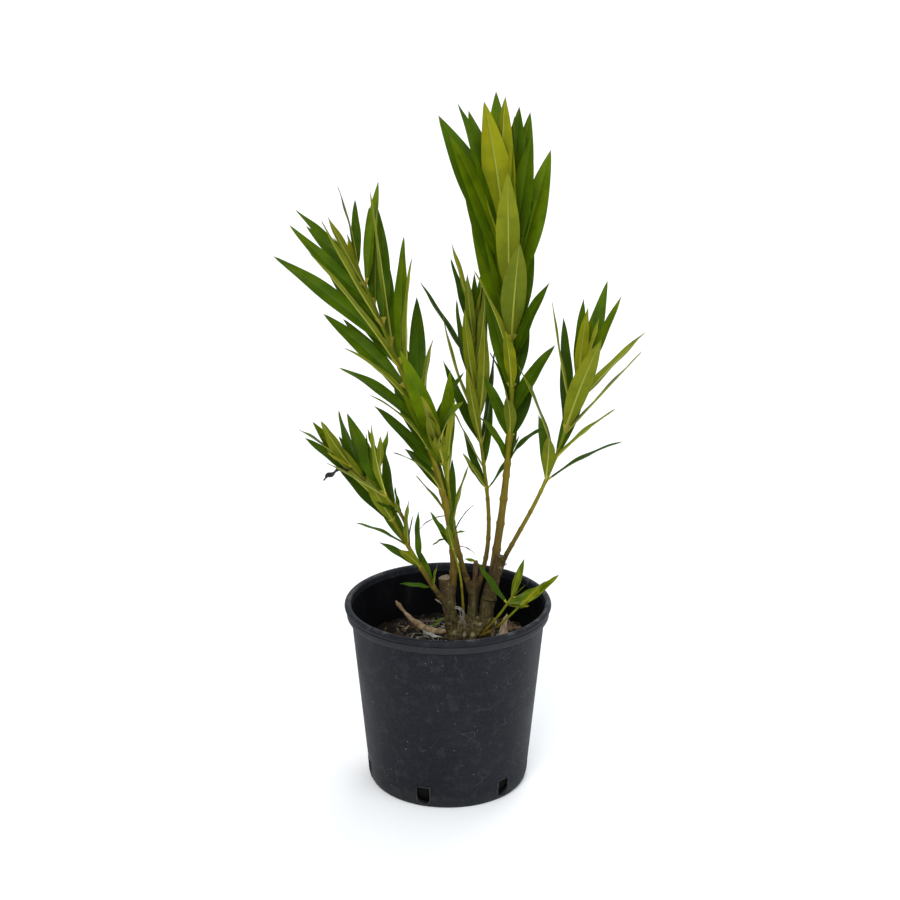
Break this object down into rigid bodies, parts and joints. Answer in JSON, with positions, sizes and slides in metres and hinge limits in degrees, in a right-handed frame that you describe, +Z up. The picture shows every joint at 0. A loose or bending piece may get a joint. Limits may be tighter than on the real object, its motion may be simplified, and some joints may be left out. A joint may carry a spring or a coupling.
{
  "type": "potted oleander",
  "caption": "Young evergreen shrub with whorls of long narrow leaves on upright stems from pruned stumps, growing in a round black plastic nursery pot filled with soil.",
  "frame": {"origin": "centre of the pot's flat underside", "axes": "+Z up, along the pot's axis; +X to the right with the shoot that leans low over the pot's left side towards -X; -Y is the front"},
  "size_m": [0.3767, 0.2488, 0.7349],
  "materials": {
    "pot_plastic": "scuffed matte black",
    "soil": "moist bark and peat potting mix",
    "old_bark": "rough olive grey bark",
    "young_bark": "smooth olive to reddish brown bark",
    "leaf": "leathery satin, paler underside"
  },
  "bodies": {
    "root": {"pot": "pot_plastic", "soil": "soil", "root_crown": "old_bark", "stump_left": "old_bark", "stump_middle": "old_bark", "stump_right": "old_bark", "bough_tall": "young_bark", "bough_middle": "young_bark", "bough_right": "young_bark", "bough_left": "young_bark", "bough_centre": "young_bark", "bough_low_left": "young_bark", "foliage_tall": "leaf", "foliage_middle": "leaf", "foliage_right": "leaf", "foliage_left": "leaf", "foliage_centre": "leaf", "foliage_low_left": "leaf", "foliage_sprig": "leaf", "foliage_foot_upper": "leaf", "foliage_foot_lower": "leaf"}
  },
  "joints": []
}
